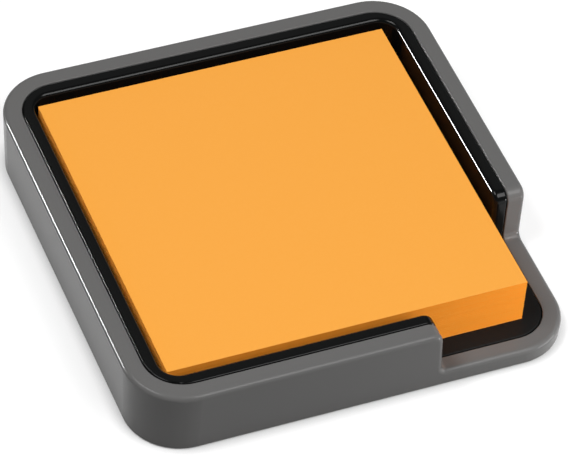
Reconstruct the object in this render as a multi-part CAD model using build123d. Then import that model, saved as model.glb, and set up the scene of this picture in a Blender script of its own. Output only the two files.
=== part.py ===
from build123d import *
from collections import Counter
from math import atan2, degrees, hypot
import os

# A square desk tray for a pad of sticky notes: a grey outer shell, a black liner inside it,
# rubber feet, and the pad. The front-right corner is cut low, so that fingers reach the notes.
# Millimetres, +Z up, +X to the right along the front, +Y to the back.
# The origin is under the middle of the tray, on the surface that it stands on.

# Pad of notes
NOTE_WIDTH = 76.2  # square note, three inches each way
SHEET_THICKNESS = 0.105
SHEET_COUNT = 100
BACKING_THICKNESS = 0.2
GLUE_STRIP = 16.0  # glued band along the back edge of a note
NOTE_SHIFT_SHARES = (-0.4, 0.05)  # how far the pad lies off centre, as shares of its clearance

# Inner liner
NOTE_CLEARANCE = 1.9  # from the pad to each wall of the pocket
POCKET_CORNER_SHARE = 2.1  # corner radius of the pocket, as a share of the clearance
POCKET_EDGE_RADIUS = 1.0
POCKET_ROOT_RADIUS = 0.3
LINER_WALL = 2.8
LINER_FLOOR = 1.6
LINER_EDGE_RADIUS = 0.3

# Gap between the liner and the shell
LINER_GAP = 0.2
LINER_LEAN = 0.5  # how far the liner and its recess narrow from the rim to the shell's floor

# Outer shell
RIM_WIDTH = 3.9
SHELL_HEIGHT = 15.2  # from the bottom edge to the rim
SHELL_LEAN = 0.65  # how far each outer wall leans in from the rim to the bottom edge
SHELL_CORNER_RADIUS = 12.0
SHELL_EDGE_RADIUS = 1.0
RECESS_EDGE_RADIUS = 0.25
SHELL_FLOOR = 1.5
UNDERSIDE_BORDER = 5.0
UNDERSIDE_DEPTH = 0.4

# Open corner
WALL_END = 15.6  # from the tray's centre lines to the ends of the front and right walls, at the rim
END_LEAN = 0.9  # how far the foot of an end stands out past its top
END_TOP_RADIUS = 2.5
END_ROOT_RADIUS = 1.4

# Snap catches on the liner, and the pockets for them in the shell
CATCH_WIDTH = 8.0
CATCH_HEIGHT = 1.6
CATCH_LIP = 0.4
CATCH_BITE = 0.5  # how far a catch reaches into the shell's wall
CATCH_CLEARANCE = 0.2
CATCH_DROP = 6.0  # from the rim to the top of a catch
CATCH_SPREAD_SHARE = 0.55  # place of the paired catches along half of a straight wall

# Feet
FOOT_DIAMETER = 8.0
FOOT_EDGE_RADIUS = 0.25
FOOT_PROUD = 0.4  # how far a foot stands out below the shell
FOOT_SEAT_DEPTH = 0.5
FOOT_SEAT_CLEARANCE = 0.1
FOOT_INSET = 11.5  # from the shell's sides at the rim to the middle of a foot

OVERRUN = 1.0  # how far a cut runs past the face that it opens
TOUCH = 0.001  # how near a point lies to a wall that it belongs to

# Heights
shell_bottom = FOOT_PROUD
shell_floor_bottom = shell_bottom + UNDERSIDE_DEPTH
shell_floor_top = shell_floor_bottom + SHELL_FLOOR
liner_floor_top = shell_floor_top + LINER_FLOOR
rim_top = shell_bottom + SHELL_HEIGHT

# Half widths and corner radii at the rim, from the pad outwards
pocket_half = NOTE_WIDTH / 2 + NOTE_CLEARANCE
liner_half = pocket_half + LINER_WALL
recess_half = liner_half + LINER_GAP
shell_half = recess_half + RIM_WIDTH
recess_corner_radius = SHELL_CORNER_RADIUS - RIM_WIDTH
liner_corner_radius = recess_corner_radius - LINER_GAP
corner_middle = shell_half - SHELL_CORNER_RADIUS


class TaperedSquare:
    """A square block with rounded corners, which narrows evenly from its top to its bottom."""

    def __init__(self, half, corner_radius, lean, top, bottom):
        self.half = half
        self.corner_radius = corner_radius
        self.lean = lean
        self.top = top
        self.bottom = bottom

    def solid(self):
        outline = RectangleRounded(2 * self.half, 2 * self.half, self.corner_radius)
        downward = Plane(origin=(0, 0, self.top), z_dir=(0, 0, -1))
        height = self.top - self.bottom
        return extrude(downward * outline, height, taper=degrees(atan2(self.lean, height)))

    def half_at(self, height):
        return self.half - self.lean * (self.top - height) / (self.top - self.bottom)

    def has_on_wall(self, point):
        middle = self.half - self.corner_radius
        past_x = max(abs(point.X) - middle, 0)
        past_y = max(abs(point.Y) - middle, 0)
        return abs(hypot(past_x, past_y) - (self.half_at(point.Z) - middle)) < TOUCH

    def open_edges(self, part):
        """The edges where the block's walls end on the part, above the block's bottom."""
        walls = [face for face in part.faces() if self.has_on_wall(face.position_at(0.5, 0.5))]
        edges = [edge for wall in walls for edge in wall.edges()]
        places = [tuple(round(value, 3) for value in edge @ 0.5) for edge in edges]
        uses = Counter(places)
        return [edge for edge, place in zip(edges, places)
                if uses[place] == 1 and (edge @ 0.5).Z > self.bottom + TOUCH]


shell_block = TaperedSquare(shell_half, SHELL_CORNER_RADIUS, SHELL_LEAN, rim_top, shell_bottom)
recess = TaperedSquare(recess_half, recess_corner_radius, LINER_LEAN, rim_top, shell_floor_top)
liner_block = TaperedSquare(liner_half, liner_corner_radius, LINER_LEAN, rim_top, shell_floor_top)
pocket = TaperedSquare(pocket_half, POCKET_CORNER_SHARE * NOTE_CLEARANCE, 0, rim_top, liner_floor_top)


def open_corner(root_radius=0):
    """What is cut away above the low rim, with the rounding of the two wall ends."""
    end_foot = WALL_END + END_LEAN
    far = shell_half + OVERRUN
    above = rim_top + OVERRUN
    behind = WALL_END - END_TOP_RADIUS - OVERRUN
    outline = Polygon(
        (end_foot, liner_floor_top),
        (far, liner_floor_top),
        (far, above),
        (behind, above),
        (behind, rim_top),
        (WALL_END, rim_top),
        align=None,
    )
    crest = outline.vertices().sort_by_distance((WALL_END, rim_top))[0]
    outline = fillet(crest, END_TOP_RADIUS)
    if root_radius:
        root = outline.vertices().sort_by_distance((end_foot, liner_floor_top))[0]
        outline = fillet(root, root_radius)
    front = extrude(Plane.XZ.offset(corner_middle) * outline, far - corner_middle)
    return front + mirror(front, about=Plane(origin=(0, 0, 0), z_dir=(1, 1, 0)))


def on_each_wall(shape):
    """Copies of a shape made on the front wall, one or two to a wall, where the catches are."""
    paired = corner_middle * CATCH_SPREAD_SHARE
    single = (WALL_END - corner_middle) / 2
    front = Pos(X=single) * shape
    right = Rot(Z=90) * Pos(X=-single) * shape
    back = [Rot(Z=180) * Pos(X=side * paired) * shape for side in (-1, 1)]
    left = [Rot(Z=270) * Pos(X=side * paired) * shape for side in (-1, 1)]
    return [front, right] + back + left


def catch():
    """A wedge on the liner's front wall, flat on top, which snaps into a pocket of the shell."""
    top = rim_top - CATCH_DROP
    wall = -liner_block.half_at(top)
    tip = wall - LINER_GAP - CATCH_BITE
    inside = wall + LINER_WALL / 2
    outline = Polygon(
        (inside, top),
        (tip, top),
        (tip, top - CATCH_LIP),
        (wall, top - CATCH_HEIGHT),
        (inside, top - CATCH_HEIGHT),
        align=None,
    )
    return extrude(Plane.YZ * outline, CATCH_WIDTH / 2, both=True)


def catch_pocket():
    """The space in the shell's front wall for a catch."""
    top = rim_top - CATCH_DROP
    mouth = -recess.half_at(top)
    deep = mouth - CATCH_BITE - CATCH_CLEARANCE
    outline = Polygon(
        (mouth + OVERRUN, top + CATCH_CLEARANCE),
        (deep, top + CATCH_CLEARANCE),
        (deep, top - CATCH_HEIGHT - CATCH_CLEARANCE),
        (mouth + OVERRUN, top - CATCH_HEIGHT - CATCH_CLEARANCE),
        align=None,
    )
    return extrude(Plane.YZ * outline, CATCH_WIDTH / 2 + CATCH_CLEARANCE, both=True)


def foot_places():
    """Each foot's name, with the middle of the foot in plan."""
    reach = shell_half - FOOT_INSET
    for row, y in (("front", -reach), ("back", reach)):
        for side, x in (("left", -reach), ("right", reach)):
            yield f"foot_{row}_{side}", Pos(x, y, 0)


def upright(radius, bottom, top):
    """A round post between two heights."""
    return extrude(Plane.XY.offset(bottom) * Circle(radius), top - bottom)


def outer_shell():
    shell = shell_block.solid() - recess.solid() - open_corner(END_ROOT_RADIUS)
    shell = fillet(shell_block.open_edges(shell), SHELL_EDGE_RADIUS)
    shell = fillet(recess.open_edges(shell), RECESS_EDGE_RADIUS)
    for opening in on_each_wall(catch_pocket()):
        shell -= opening
    hollow_half = shell_block.half_at(shell_bottom) - UNDERSIDE_BORDER
    hollow_radius = hollow_half - corner_middle
    hollow = Plane.XY.offset(shell_bottom) * RectangleRounded(2 * hollow_half, 2 * hollow_half, hollow_radius)
    shell -= extrude(hollow, UNDERSIDE_DEPTH)
    seat_radius = FOOT_DIAMETER / 2 + FOOT_SEAT_CLEARANCE
    for _, place in foot_places():
        shell -= place * upright(seat_radius, shell_floor_bottom, shell_floor_bottom + FOOT_SEAT_DEPTH)
    return shell


def inner_liner():
    liner = liner_block.solid() - pocket.solid() - open_corner()
    liner = fillet(pocket.open_edges(liner), POCKET_EDGE_RADIUS)
    floor = liner.faces().filter_by(Axis.Z).sort_by(lambda face: abs(face.center().Z - liner_floor_top))[0]
    wall_feet = [edge for edge in floor.edges() if not liner_block.has_on_wall(edge @ 0.5)]
    liner = fillet(wall_feet, POCKET_ROOT_RADIUS)
    liner = fillet(liner_block.open_edges(liner), LINER_EDGE_RADIUS)
    for wedge in on_each_wall(catch()):
        liner += wedge
    return liner


def foot():
    post = upright(FOOT_DIAMETER / 2, 0, shell_floor_bottom + FOOT_SEAT_DEPTH)
    return fillet(post.edges().sort_by(Axis.Z)[0], FOOT_EDGE_RADIUS)


def paper(bottom, thickness, front, back):
    """A flat layer of the pad, between two distances from the pad's front edge."""
    shift_x = NOTE_SHIFT_SHARES[0] * NOTE_CLEARANCE
    shift_y = NOTE_SHIFT_SHARES[1] * NOTE_CLEARANCE
    middle = shift_y - NOTE_WIDTH / 2 + (front + back) / 2
    return Pos(shift_x, middle, bottom + thickness / 2) * Box(NOTE_WIDTH, back - front, thickness)


def pad_pieces():
    """The backing sheet, the block of notes, and the top note in its glued and its free part."""
    stack_bottom = liner_floor_top + BACKING_THICKNESS
    stack_height = (SHEET_COUNT - 1) * SHEET_THICKNESS
    top_bottom = stack_bottom + stack_height
    fold = NOTE_WIDTH - GLUE_STRIP
    return {
        "backing_sheet": paper(liner_floor_top, BACKING_THICKNESS, 0, NOTE_WIDTH),
        "note_stack": paper(stack_bottom, stack_height, 0, NOTE_WIDTH),
        "top_note_glued_edge": paper(top_bottom, SHEET_THICKNESS, fold, NOTE_WIDTH),
        "top_note_leaf": paper(top_bottom, SHEET_THICKNESS, 0, fold),
    }


pieces = {"outer_shell": outer_shell(), "inner_liner": inner_liner()}
for name, place in foot_places():
    pieces[name] = place * foot()
pieces.update(pad_pieces())

os.makedirs("parts", exist_ok=True)
for name, piece in pieces.items():
    export_step(piece, f"parts/{name}.step")
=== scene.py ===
import math
import random
import bmesh
import bpy
from mathutils import Matrix, Vector

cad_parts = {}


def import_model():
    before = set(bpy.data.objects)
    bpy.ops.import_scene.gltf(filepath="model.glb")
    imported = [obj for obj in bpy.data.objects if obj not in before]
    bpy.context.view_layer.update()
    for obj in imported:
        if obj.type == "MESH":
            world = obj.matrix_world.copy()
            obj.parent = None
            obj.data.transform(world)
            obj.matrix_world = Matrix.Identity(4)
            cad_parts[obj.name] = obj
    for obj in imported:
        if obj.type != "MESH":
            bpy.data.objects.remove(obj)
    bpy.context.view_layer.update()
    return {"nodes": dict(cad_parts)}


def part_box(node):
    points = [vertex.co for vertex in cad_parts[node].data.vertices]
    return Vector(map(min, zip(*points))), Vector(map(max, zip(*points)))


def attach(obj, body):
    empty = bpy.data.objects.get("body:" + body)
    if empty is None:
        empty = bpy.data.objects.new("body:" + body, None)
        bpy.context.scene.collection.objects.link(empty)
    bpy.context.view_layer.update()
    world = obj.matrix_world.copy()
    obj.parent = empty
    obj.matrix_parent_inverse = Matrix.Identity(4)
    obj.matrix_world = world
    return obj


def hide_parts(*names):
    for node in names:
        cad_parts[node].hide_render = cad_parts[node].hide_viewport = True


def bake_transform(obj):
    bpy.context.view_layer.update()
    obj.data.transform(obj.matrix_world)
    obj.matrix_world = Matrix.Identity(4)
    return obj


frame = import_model()

# Looks of a square desk tray for sticky notes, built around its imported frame. Metres, +Z up.

MM = 0.001

# Camera
CAMERA_TARGET = Vector((1.72, 1.21, 2.16)) * MM
CAMERA_AZIMUTH = -25.24  # degrees, 0 looks along +Y
CAMERA_ELEVATION = 46.28
CAMERA_ROLL = 5.27
CAMERA_DISTANCE = 819.757 * MM
CAMERA_SENSOR = 36.0
CAMERA_LENS = 254.386  # in the sensor's unit

# Materials: colours are linear, cells of noise are counted to a metre, and a pair is a range
NOISE_LIMITS = (0.25, 0.75)  # most of the noise lies between these
BUMP_HEIGHT = 0.02 * MM
BEVEL_SAMPLES = 6
EDGE_COSINES = (0.80, 0.99)  # agreement of a face with its rounded normal: at an edge, and on the flat

# The Mix node's sockets for colours, by number, because its other kinds use the same names
MIX_FIRST = 6
MIX_SECOND = 7
MIX_RESULT = 2

# Grey plastic
GREY = (0.135, 0.133, 0.131)
GREY_CLOUDS = 0.015  # share by which the colour strays either way
GREY_CLOUD_CELLS = 70
GREY_WORN = (0.155, 0.153, 0.151)
GREY_WEAR_RADIUS = 0.5 * MM
GREY_WEAR_CELLS = 900
GREY_WEAR_LIMITS = (0.1, 0.8)
GREY_WEAR_SHARES = (0.0, 0.35)  # of the worn colour
GREY_SPECULAR = 0.13
GREY_ROUGHNESS = (0.19, 0.22)
GREY_ROUGHNESS_CELLS = 1600
GREY_GRAIN = 0.04
GREY_GRAIN_CELLS = 5200

# Black plastic
BLACK = (0.0040, 0.0043, 0.0043)
BLACK_MATTE = (0.0070, 0.0075, 0.0075)  # the pocket's floor, moulded with a fine grain
BLACK_MATTE_FADE = 0.2 * MM  # rise above that floor over which the gloss comes back
BLACK_MATTE_ROUGHNESS = 0.45  # what that floor adds to the roughness
BLACK_DUST = (0.012, 0.012, 0.012)
BLACK_DUST_CELLS = 900
BLACK_DUST_LIMITS = (0.02, 0.07)  # distances from a speck's middle, in cells, between which it fades
BLACK_DUST_SHARES = (0.5, 0.0)  # of the dust's colour
BLACK_SPECULAR = 0.16
BLACK_ROUGHNESS = (0.11, 0.18)
BLACK_MARK_CELLS = 130
BLACK_RIPPLE = 0.04
BLACK_RIPPLE_CELLS = 260

# Paper of the notes
ORANGE = (0.905, 0.375, 0.051)
ORANGE_FIBRE = (0.945, 0.42, 0.070)
ORANGE_CUT_AND_PAINTED_GLOW = (1.0, 0.315, 0.016)  # the sheets' cut edges, deeper and fuller than their faces: partly their own colour, partly painted glow of light scattered through the stack
FIBRE_CELLS = 3200
FIBRE_SHARES = (0.0, 0.35)  # of the fibres' colour
FIBRE_BUMP = 0.06
PAPER_SPECULAR = 0.25
PAPER_ROUGHNESS = (0.80, 0.92)
PAPER_ROUGHNESS_CELLS = 800

# Backing sheet
CARD = (0.83, 0.81, 0.76)
CARD_SHADE = 0.93  # its darker places, as a share of that
CARD_SHADE_CELLS = 1500
CARD_FACE_LIMITS = (0.25, 0.75)  # rise of the normal between a cut edge and a face
CARD_ROUGHNESS = (0.42, 0.55)
CARD_ROUGHNESS_CELLS = 300

# Rubber feet
RUBBER = (0.022, 0.022, 0.022)
RUBBER_WORN = (0.05, 0.05, 0.05)
RUBBER_WEAR_RADIUS = 0.3 * MM
RUBBER_WEAR_CELLS = 1400
RUBBER_ROUGHNESS = (0.70, 0.85)
RUBBER_ROUGHNESS_CELLS = 700
RUBBER_GRAIN = 0.2
RUBBER_GRAIN_CELLS = 3000

# Floor and world
FLOOR = (0.50, 0.50, 0.50)
FLOOR_REACH = 3.0  # from its middle to a side
FLOOR_BOUNCE = (0.14, 0.14, 0.14)  # what the floor throws back onto the object
FLOOR_GLOW = 0.60  # lifts the floor to white where the camera or a reflection sees it
CONTACT_SHADOW = 2.6 * MM  # distance from the object within which that lift fades
CONTACT_SAMPLES = 8
WORLD_COLOUR = (1.0, 1.0, 1.0)
WORLD_LEVEL = 1.0  # brightness of the white sweep behind the floor
WORLD_TOP_SHARE = 0.07  # brightness overhead, as a share of that
WORLD_FADE = (0.03, 0.15)  # heights of direction between which the sweep gives way to the dark ceiling

# Pad
SHEETS = 99  # under the top note
SHEET_SLIP = 0.025 * MM  # how far a sheet lies off its neighbours
SHEET_SHARE = 0.95  # thickness of a sheet's cut edge, as a share of its pitch
SHEET_TONES = (0.8, 1.0)  # how much of the cut edges' deeper colour and painted glow a sheet shows
SHEET_SEED = 4
TONE = "tone"  # the face attribute that carries this
BROAD_RISE = 0.5  # the normals of a sheet's two broad faces rise or fall more than this
FOLD_LENGTH = 1.8 * MM  # stretch in front of the glued edge that is cut into strips, where the top note would bend if peeled
FOLD_ROWS = 10  # strips that the top note is cut into along that stretch


def feed(tree, made, inputs):
    """Gives a node's inputs their values or links."""
    for name, value in inputs.items():
        if isinstance(value, bpy.types.NodeSocket):
            tree.links.new(value, made.inputs[name])
        else:
            made.inputs[name].default_value = value


def node(tree, kind, inputs=None, **settings):
    """A new node with its settings, and values or links for its inputs."""
    made = tree.nodes.new(kind)
    for name, value in settings.items():
        setattr(made, name, value)
    feed(tree, made, inputs or {})
    return made


def new_material(name):
    """A material with its node tree and its shader."""
    material = bpy.data.materials.new(name)
    material.use_nodes = True
    tree = material.node_tree
    return material, tree, tree.nodes["Principled BSDF"]


def opaque(colour):
    """A colour with its fourth number."""
    return (*colour, 1.0)


def scaled(colour, share):
    """A colour made lighter or darker."""
    return [part * share for part in colour]


def place(tree):
    """Coordinates fixed to the piece, in metres."""
    return node(tree, "ShaderNodeTexCoord").outputs["Object"]


def noise(tree, cells, detail=3.0, roughness=0.5):
    """Noise with so many cells to a metre, from 0 to 1."""
    inputs = {"Vector": place(tree), "Scale": cells, "Detail": detail, "Roughness": roughness}
    return node(tree, "ShaderNodeTexNoise", inputs).outputs["Fac"]


def calculated(tree, operation, *values):
    """The result of a Math node."""
    return node(tree, "ShaderNodeMath", dict(enumerate(values)), operation=operation).outputs[0]


def spread(tree, value, results, limits=NOISE_LIMITS):
    """A value mapped from its limits to a range of results."""
    inputs = {
        "Value": value,
        "From Min": limits[0],
        "From Max": limits[1],
        "To Min": results[0],
        "To Max": results[1],
    }
    return node(tree, "ShaderNodeMapRange", inputs).outputs["Result"]


def mixed(tree, factor, first, second):
    """A colour between two others, each of which is a link or three numbers."""
    inputs = {"Factor": factor}
    for socket, colour in ((MIX_FIRST, first), (MIX_SECOND, second)):
        inputs[socket] = colour if isinstance(colour, bpy.types.NodeSocket) else opaque(colour)
    return node(tree, "ShaderNodeMix", inputs, data_type="RGBA").outputs[MIX_RESULT]


def bumped(tree, height, strength):
    """A normal that follows a fine relief."""
    inputs = {"Height": height, "Strength": strength, "Distance": BUMP_HEIGHT}
    return node(tree, "ShaderNodeBump", inputs).outputs["Normal"]


def edge_wear(tree, radius, cells):
    """Patchy wear within a radius of the edges: 0 on flat faces, up to 1 along the edges."""
    rounded = node(tree, "ShaderNodeBevel", {"Radius": radius}, samples=BEVEL_SAMPLES).outputs["Normal"]
    true = node(tree, "ShaderNodeNewGeometry").outputs["True Normal"]
    both = {0: rounded, 1: true}
    agreement = node(tree, "ShaderNodeVectorMath", both, operation="DOT_PRODUCT").outputs["Value"]
    edges = spread(tree, agreement, (1.0, 0.0), EDGE_COSINES)
    return calculated(tree, "MULTIPLY", edges, noise(tree, cells, detail=4.0))


def grey_plastic():
    """Satin moulded plastic with a fine grain, a slightly cloudy colour and some wear along the edges."""
    material, tree, shader = new_material("grey_plastic")
    clouds = noise(tree, GREY_CLOUD_CELLS, detail=4.0)
    cloudy = mixed(tree, clouds, scaled(GREY, 1 - GREY_CLOUDS), scaled(GREY, 1 + GREY_CLOUDS))
    wear = edge_wear(tree, GREY_WEAR_RADIUS, GREY_WEAR_CELLS)
    worn = spread(tree, wear, GREY_WEAR_SHARES, GREY_WEAR_LIMITS)
    feed(tree, shader, {
        "Base Color": mixed(tree, worn, cloudy, GREY_WORN),
        "Specular IOR Level": GREY_SPECULAR,
        "Roughness": spread(tree, noise(tree, GREY_ROUGHNESS_CELLS), GREY_ROUGHNESS),
        "Normal": bumped(tree, noise(tree, GREY_GRAIN_CELLS, detail=2.0), GREY_GRAIN),
    })
    return material


def black_plastic():
    """Gloss moulded plastic with faint handling marks and specks of dust, matte on the pocket's floor."""
    material, tree, shader = new_material("black_plastic")
    height = node(tree, "ShaderNodeSeparateXYZ", {0: place(tree)}).outputs["Z"]
    floor_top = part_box("backing_sheet")[0].z
    matte = spread(tree, height, (1.0, 0.0), (floor_top, floor_top + BLACK_MATTE_FADE))
    moulded = mixed(tree, matte, BLACK, BLACK_MATTE)
    cells = {"Vector": place(tree), "Scale": BLACK_DUST_CELLS}
    specks = node(tree, "ShaderNodeTexVoronoi", cells).outputs["Distance"]
    dust = spread(tree, specks, BLACK_DUST_SHARES, BLACK_DUST_LIMITS)
    marks = noise(tree, BLACK_MARK_CELLS, detail=5.0, roughness=0.6)
    gloss = spread(tree, marks, BLACK_ROUGHNESS)
    feed(tree, shader, {
        "Base Color": mixed(tree, dust, moulded, BLACK_DUST),
        "Specular IOR Level": BLACK_SPECULAR,
        "Roughness": calculated(tree, "MULTIPLY_ADD", matte, BLACK_MATTE_ROUGHNESS, gloss),
        "Normal": bumped(tree, noise(tree, BLACK_RIPPLE_CELLS, detail=2.0), BLACK_RIPPLE),
    })
    return material


def note_paper():
    """Uncoated coloured paper with soft fibres and little gloss, deeper in colour on the cut edges, partly
    as painted glow of light scattered through the stack.
    """
    material, tree, shader = new_material("note_paper")
    fibres = noise(tree, FIBRE_CELLS, detail=4.0, roughness=0.65)
    paper = mixed(tree, spread(tree, fibres, FIBRE_SHARES), ORANGE, ORANGE_FIBRE)
    tone = node(tree, "ShaderNodeAttribute", attribute_name=TONE).outputs["Fac"]
    # the cut edges take a deeper colour that partly paints the glow of light scattered through the stack
    feed(tree, shader, {
        "Base Color": mixed(tree, tone, paper, ORANGE_CUT_AND_PAINTED_GLOW),
        "Specular IOR Level": PAPER_SPECULAR,
        "Roughness": spread(tree, noise(tree, PAPER_ROUGHNESS_CELLS, detail=2.0), PAPER_ROUGHNESS),
        "Normal": bumped(tree, fibres, FIBRE_BUMP),
    })
    return material


def backing_paper():
    """The sheet under the pad, pale on its release-coated faces, with the notes' cut-edge colour, painted
    glow included, on its cut edges.
    """
    material, tree, shader = new_material("backing_paper")
    normal = node(tree, "ShaderNodeNewGeometry").outputs["True Normal"]
    rise = node(tree, "ShaderNodeSeparateXYZ", {0: normal}).outputs["Z"]
    broad = spread(tree, calculated(tree, "ABSOLUTE", rise), (0.0, 1.0), CARD_FACE_LIMITS)
    coated = mixed(tree, noise(tree, CARD_SHADE_CELLS, detail=4.0), CARD, scaled(CARD, CARD_SHADE))
    feed(tree, shader, {
        "Base Color": mixed(tree, broad, ORANGE_CUT_AND_PAINTED_GLOW, coated),
        "Roughness": spread(tree, noise(tree, CARD_ROUGHNESS_CELLS, detail=2.0), CARD_ROUGHNESS),
    })
    return material


def foot_rubber():
    """Matte rubber with a rubbed edge."""
    material, tree, shader = new_material("foot_rubber")
    rubbed = edge_wear(tree, RUBBER_WEAR_RADIUS, RUBBER_WEAR_CELLS)
    feed(tree, shader, {
        "Base Color": mixed(tree, rubbed, RUBBER, RUBBER_WORN),
        "Roughness": spread(tree, noise(tree, RUBBER_ROUGHNESS_CELLS), RUBBER_ROUGHNESS),
        "Normal": bumped(tree, noise(tree, RUBBER_GRAIN_CELLS), RUBBER_GRAIN),
    })
    return material


def dress(name, material):
    """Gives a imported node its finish."""
    piece = frame["nodes"][name]
    piece.data.materials.clear()
    piece.data.materials.append(material)


def new_piece(name, mesh_builder, material):
    """A mesh object made by a function that fills a bmesh."""
    mesh = bpy.data.meshes.new(name)
    built = bmesh.new()
    mesh_builder(built)
    built.to_mesh(mesh)
    built.free()
    mesh.materials.append(material)
    piece = bpy.data.objects.new(name, mesh)
    bpy.context.scene.collection.objects.link(piece)
    return piece


def add_box(built, low, high):
    """A closed box between two corners. Returns its faces."""
    size = high - low
    matrix = Matrix.Translation((low + high) / 2) @ Matrix.Diagonal((*size, 1.0))
    corners = bmesh.ops.create_cube(built, size=1.0, matrix=matrix)["verts"]
    faces = list({face for corner in corners for face in corner.link_faces})
    for face in faces:
        face.normal_update()
    return faces


def is_broad(face):
    """True for a sheet's two broad faces, False for its cut edges."""
    return abs(face.normal.z) > BROAD_RISE


def note_stack(material):
    """The block of notes, sheet by sheet, each a hair out of line with its neighbours."""
    low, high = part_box("note_stack")
    pitch = (high.z - low.z) / SHEETS
    inset = Vector((SHEET_SLIP, SHEET_SLIP, 0))
    chance = random.Random(SHEET_SEED)

    def build(built):
        tone = built.faces.layers.float.new(TONE)
        for index in range(SHEETS):
            slip = Vector((chance.uniform(-1, 1), chance.uniform(-1, 1), 0)) * SHEET_SLIP
            bottom = low.z + pitch * index
            thick = pitch * SHEET_SHARE if index < SHEETS - 1 else pitch
            start = Vector((low.x, low.y, bottom)) + slip + inset
            end = Vector((high.x, high.y, bottom + thick)) + slip - inset
            shade = chance.uniform(*SHEET_TONES)
            for face in add_box(built, start, end):
                face[tone] = 0.0 if is_broad(face) else shade

    piece = new_piece("note_stack_sheets", build, material)
    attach(piece, "note_pad")
    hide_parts("note_stack")


def top_note(material):
    """The top note, one flat sheet over its leaf and glued edge, cut into strips just in front of the glued
    edge.
    """
    leaf_low, leaf_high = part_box("top_note_leaf")
    glued_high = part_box("top_note_glued_edge")[1]
    fold = Vector((leaf_low.x, leaf_high.y, leaf_high.z))

    def build(built):
        tone = built.faces.layers.float.new(TONE)
        add_box(built, leaf_low, Vector((leaf_high.x, glued_high.y, leaf_high.z)))
        for row in range(FOLD_ROWS + 1):
            cut = fold - Vector((0, FOLD_LENGTH * row / FOLD_ROWS, 0))
            everything = [*built.verts, *built.edges, *built.faces]
            bmesh.ops.bisect_plane(built, geom=everything, plane_co=cut, plane_no=(0, 1, 0))
        for face in built.faces:
            face.normal_update()
            broad = is_broad(face)
            face[tone] = 0.0 if broad else 1.0
            face.smooth = broad and fold.y - FOLD_LENGTH < face.calc_center_median().y < fold.y
        for edge in built.edges:
            edge.smooth = all(face.smooth for face in edge.link_faces)

    piece = new_piece("top_note_sheet", build, material)
    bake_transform(piece)
    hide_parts("top_note_leaf", "top_note_glued_edge")


def direction(azimuth, elevation):
    """The way from the object to a place round it, in degrees. Azimuth 0 is in front, at -Y."""
    turn = math.radians(azimuth)
    rise = math.radians(elevation)
    return Vector((math.sin(turn) * math.cos(rise), -math.cos(turn) * math.cos(rise), math.sin(rise)))


def camera():
    """The camera, which is rolled a little about its line of sight."""
    roll = math.radians(CAMERA_ROLL)
    back = direction(CAMERA_AZIMUTH, CAMERA_ELEVATION)
    level = Vector((0, 0, 1)).cross(back).normalized()
    upright = back.cross(level)
    right = level * math.cos(roll) + upright * math.sin(roll)
    up = back.cross(right)
    data = bpy.data.cameras.new("camera")
    data.sensor_width = CAMERA_SENSOR
    data.lens = CAMERA_LENS
    made = bpy.data.objects.new("camera", data)
    turn = Matrix((right, up, back)).transposed().to_4x4()
    made.matrix_world = Matrix.Translation(CAMERA_TARGET + back * CAMERA_DISTANCE) @ turn
    bpy.context.scene.collection.objects.link(made)
    bpy.context.scene.camera = made


def softbox(name, azimuth, elevation, distance, width, height, power):
    """A white area lamp aimed at the object, which the camera doesn't see."""
    back = direction(azimuth, elevation)
    data = bpy.data.lights.new(name, "AREA")
    data.shape = "RECTANGLE"
    data.size = width
    data.size_y = height
    data.energy = power
    made = bpy.data.objects.new(name, data)
    made.location = back * distance
    made.rotation_mode = "QUATERNION"
    made.rotation_quaternion = back.to_track_quat("Z", "Y")
    made.visible_camera = False
    bpy.context.scene.collection.objects.link(made)
    return made


def lights():
    """Soft light from the left, the front right and behind, a small card at the open corner, and a strip."""
    softbox("left_high", azimuth=-97, elevation=61, distance=1.0, width=0.55, height=0.35, power=5.5)
    softbox("front_right", azimuth=30, elevation=53, distance=1.0, width=0.55, height=0.5, power=6.6)
    softbox("card_right", azimuth=52, elevation=3, distance=0.135, width=0.05, height=0.010, power=0.054)
    softbox("back", azimuth=155, elevation=46, distance=1.2, width=0.8, height=0.6, power=0.35)
    strip = softbox(
        "strip_back_left", azimuth=-130, elevation=8, distance=1.6, width=0.14, height=0.24, power=33.0
    )
    strip.visible_diffuse = False  # shows in reflections alone, as bright lines along the edges


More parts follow.
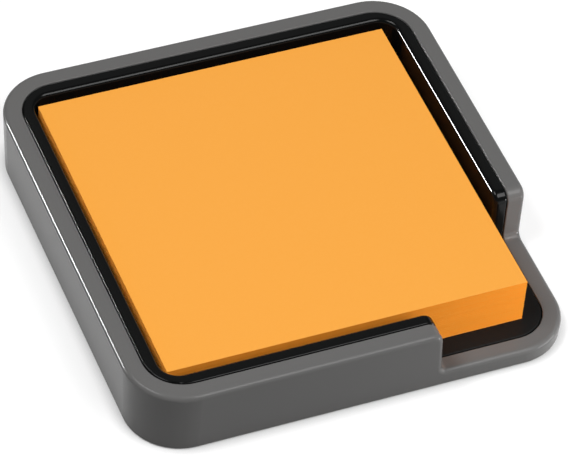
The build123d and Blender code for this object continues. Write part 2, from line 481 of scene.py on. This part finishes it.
def seen(tree):
    """1 for rays from the camera and for reflections, 0 for light that bounces about."""
    path = node(tree, "ShaderNodeLightPath").outputs
    mirror = calculated(tree, "MAXIMUM", path["Is Glossy Ray"], path["Is Transmission Ray"])
    return calculated(tree, "MAXIMUM", path["Is Camera Ray"], mirror)


def floor():
    """A wide floor that looks white and keeps the object's shadow."""
    def build(built):
        bmesh.ops.create_grid(built, x_segments=1, y_segments=1, size=FLOOR_REACH)

    material, tree, shader = new_material("floor")
    tree.nodes.remove(shader)
    bounce = node(tree, "ShaderNodeBsdfDiffuse", {"Color": opaque(FLOOR_BOUNCE)}).outputs[0]
    plain = node(tree, "ShaderNodeBsdfDiffuse", {"Color": opaque(FLOOR)}).outputs[0]
    near = {"Distance": CONTACT_SHADOW}
    open_sky = node(tree, "ShaderNodeAmbientOcclusion", near, samples=CONTACT_SAMPLES).outputs["AO"]
    strength = spread(tree, open_sky, (0.0, FLOOR_GLOW), (0.0, 1.0))
    glow = node(tree, "ShaderNodeEmission", {"Strength": strength}).outputs[0]
    bright = node(tree, "ShaderNodeAddShader", {0: plain, 1: glow}).outputs[0]
    shown = node(tree, "ShaderNodeMixShader", {"Fac": seen(tree), 1: bounce, 2: bright}).outputs[0]
    tree.links.new(shown, tree.nodes["Material Output"].inputs["Surface"])
    new_piece("floor", build, material)


def world():
    """A white sweep round the horizon under a dark ceiling."""
    made = bpy.data.worlds.new("studio")
    made.use_nodes = True
    tree = made.node_tree
    ray = node(tree, "ShaderNodeTexCoord").outputs["Generated"]
    height = node(tree, "ShaderNodeSeparateXYZ", {0: ray}).outputs["Z"]
    level = spread(tree, height, (WORLD_LEVEL, WORLD_LEVEL * WORLD_TOP_SHARE), WORLD_FADE)
    feed(tree, tree.nodes["Background"], {"Color": opaque(WORLD_COLOUR), "Strength": level})
    bpy.context.scene.world = made


bpy.context.scene.view_settings.view_transform = "Standard"
camera()
lights()
world()
floor()
paper = note_paper()
dress("outer_shell", grey_plastic())
dress("inner_liner", black_plastic())
dress("backing_sheet", backing_paper())
rubber = foot_rubber()
for foot in (name for name in frame["nodes"] if name.startswith("foot_")):
    dress(foot, rubber)
note_stack(paper)
top_note(paper)
